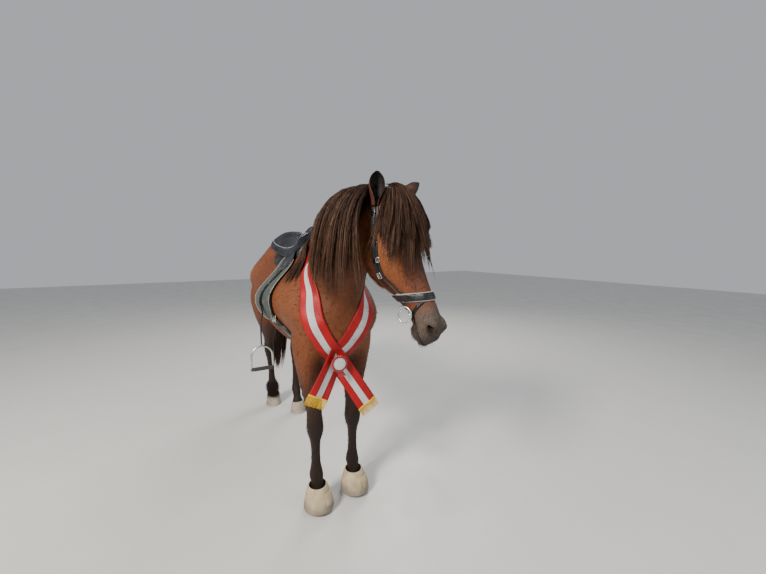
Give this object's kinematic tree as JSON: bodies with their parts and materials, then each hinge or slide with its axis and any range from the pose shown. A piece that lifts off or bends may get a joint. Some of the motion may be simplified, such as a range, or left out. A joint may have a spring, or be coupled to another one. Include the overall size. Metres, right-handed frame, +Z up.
{
  "type": "icelandic horse",
  "caption": "Life-size standing bay Icelandic horse with thick mane and forelock, wearing saddle, bridle, winner's sash and bell boots.",
  "frame": {"origin": "on the floor, under the middle of the whole model's box", "axes": "+X towards the horse's front, +Y towards its left side, +Z up"},
  "size_m": [2.1142, 0.716, 1.6049],
  "materials": {
    "coat": "short glossy hair, reddish bay",
    "points": "short dark brown hair",
    "mane": "long dark brown hair",
    "hoof": "dusty horn",
    "eye": "wet, very dark brown",
    "leather": "black, worn satin",
    "flap": "dull grey green, dusty",
    "steel": "polished, lightly worn",
    "ribbon": "satin ribbon, red with a white middle stripe",
    "fringe": "bright gold thread",
    "badge": "silver white satin",
    "boot": "cream, dusty"
  },
  "bodies": {
    "root": {"bit_ring_left": "steel", "bit_ring_right": "steel", "boot_fore_left": "boot", "boot_fore_right": "boot", "bridle_browband": "leather", "bridle_cheek_left": "leather", "bridle_cheek_right": "leather", "bridle_crownpiece": "leather", "bridle_noseband": "leather", "ear_left": "mane", "ear_right": "mane", "eye_left": "eye", "eye_right": "eye", "fore_left_cannon": "points", "fore_left_forearm": "coat", "fore_left_hoof": "hoof", "fore_left_pastern": "points", "fore_right_cannon": "points", "fore_right_forearm": "coat", "fore_right_hoof": "hoof", "fore_right_pastern": "points", "girth_left": "leather", "girth_right": "leather", "head": "coat", "hind_left_cannon": "points", "hind_left_hoof": "hoof", "hind_left_pastern": "points", "hind_left_thigh": "coat", "hind_right_cannon": "points", "hind_right_hoof": "hoof", "hind_right_pastern": "points", "hind_right_thigh": "coat", "neck": "coat", "rosette": "ribbon", "rosette_centre": "badge", "saddle_flap_left": "flap", "saddle_flap_right": "flap", "saddle_panel": "leather", "saddle_seat": "leather", "sash_band_left": "ribbon", "sash_band_right": "ribbon", "sash_fringe_left": "fringe", "sash_fringe_right": "fringe", "sash_tail_left": "ribbon", "sash_tail_right": "ribbon", "stirrup_iron_left": "steel", "stirrup_iron_right": "steel", "stirrup_leather_left": "leather", "stirrup_leather_right": "leather", "stirrup_tread_left": "leather", "stirrup_tread_right": "leather", "tail": "mane", "torso": "coat"}
  },
  "joints": []
}
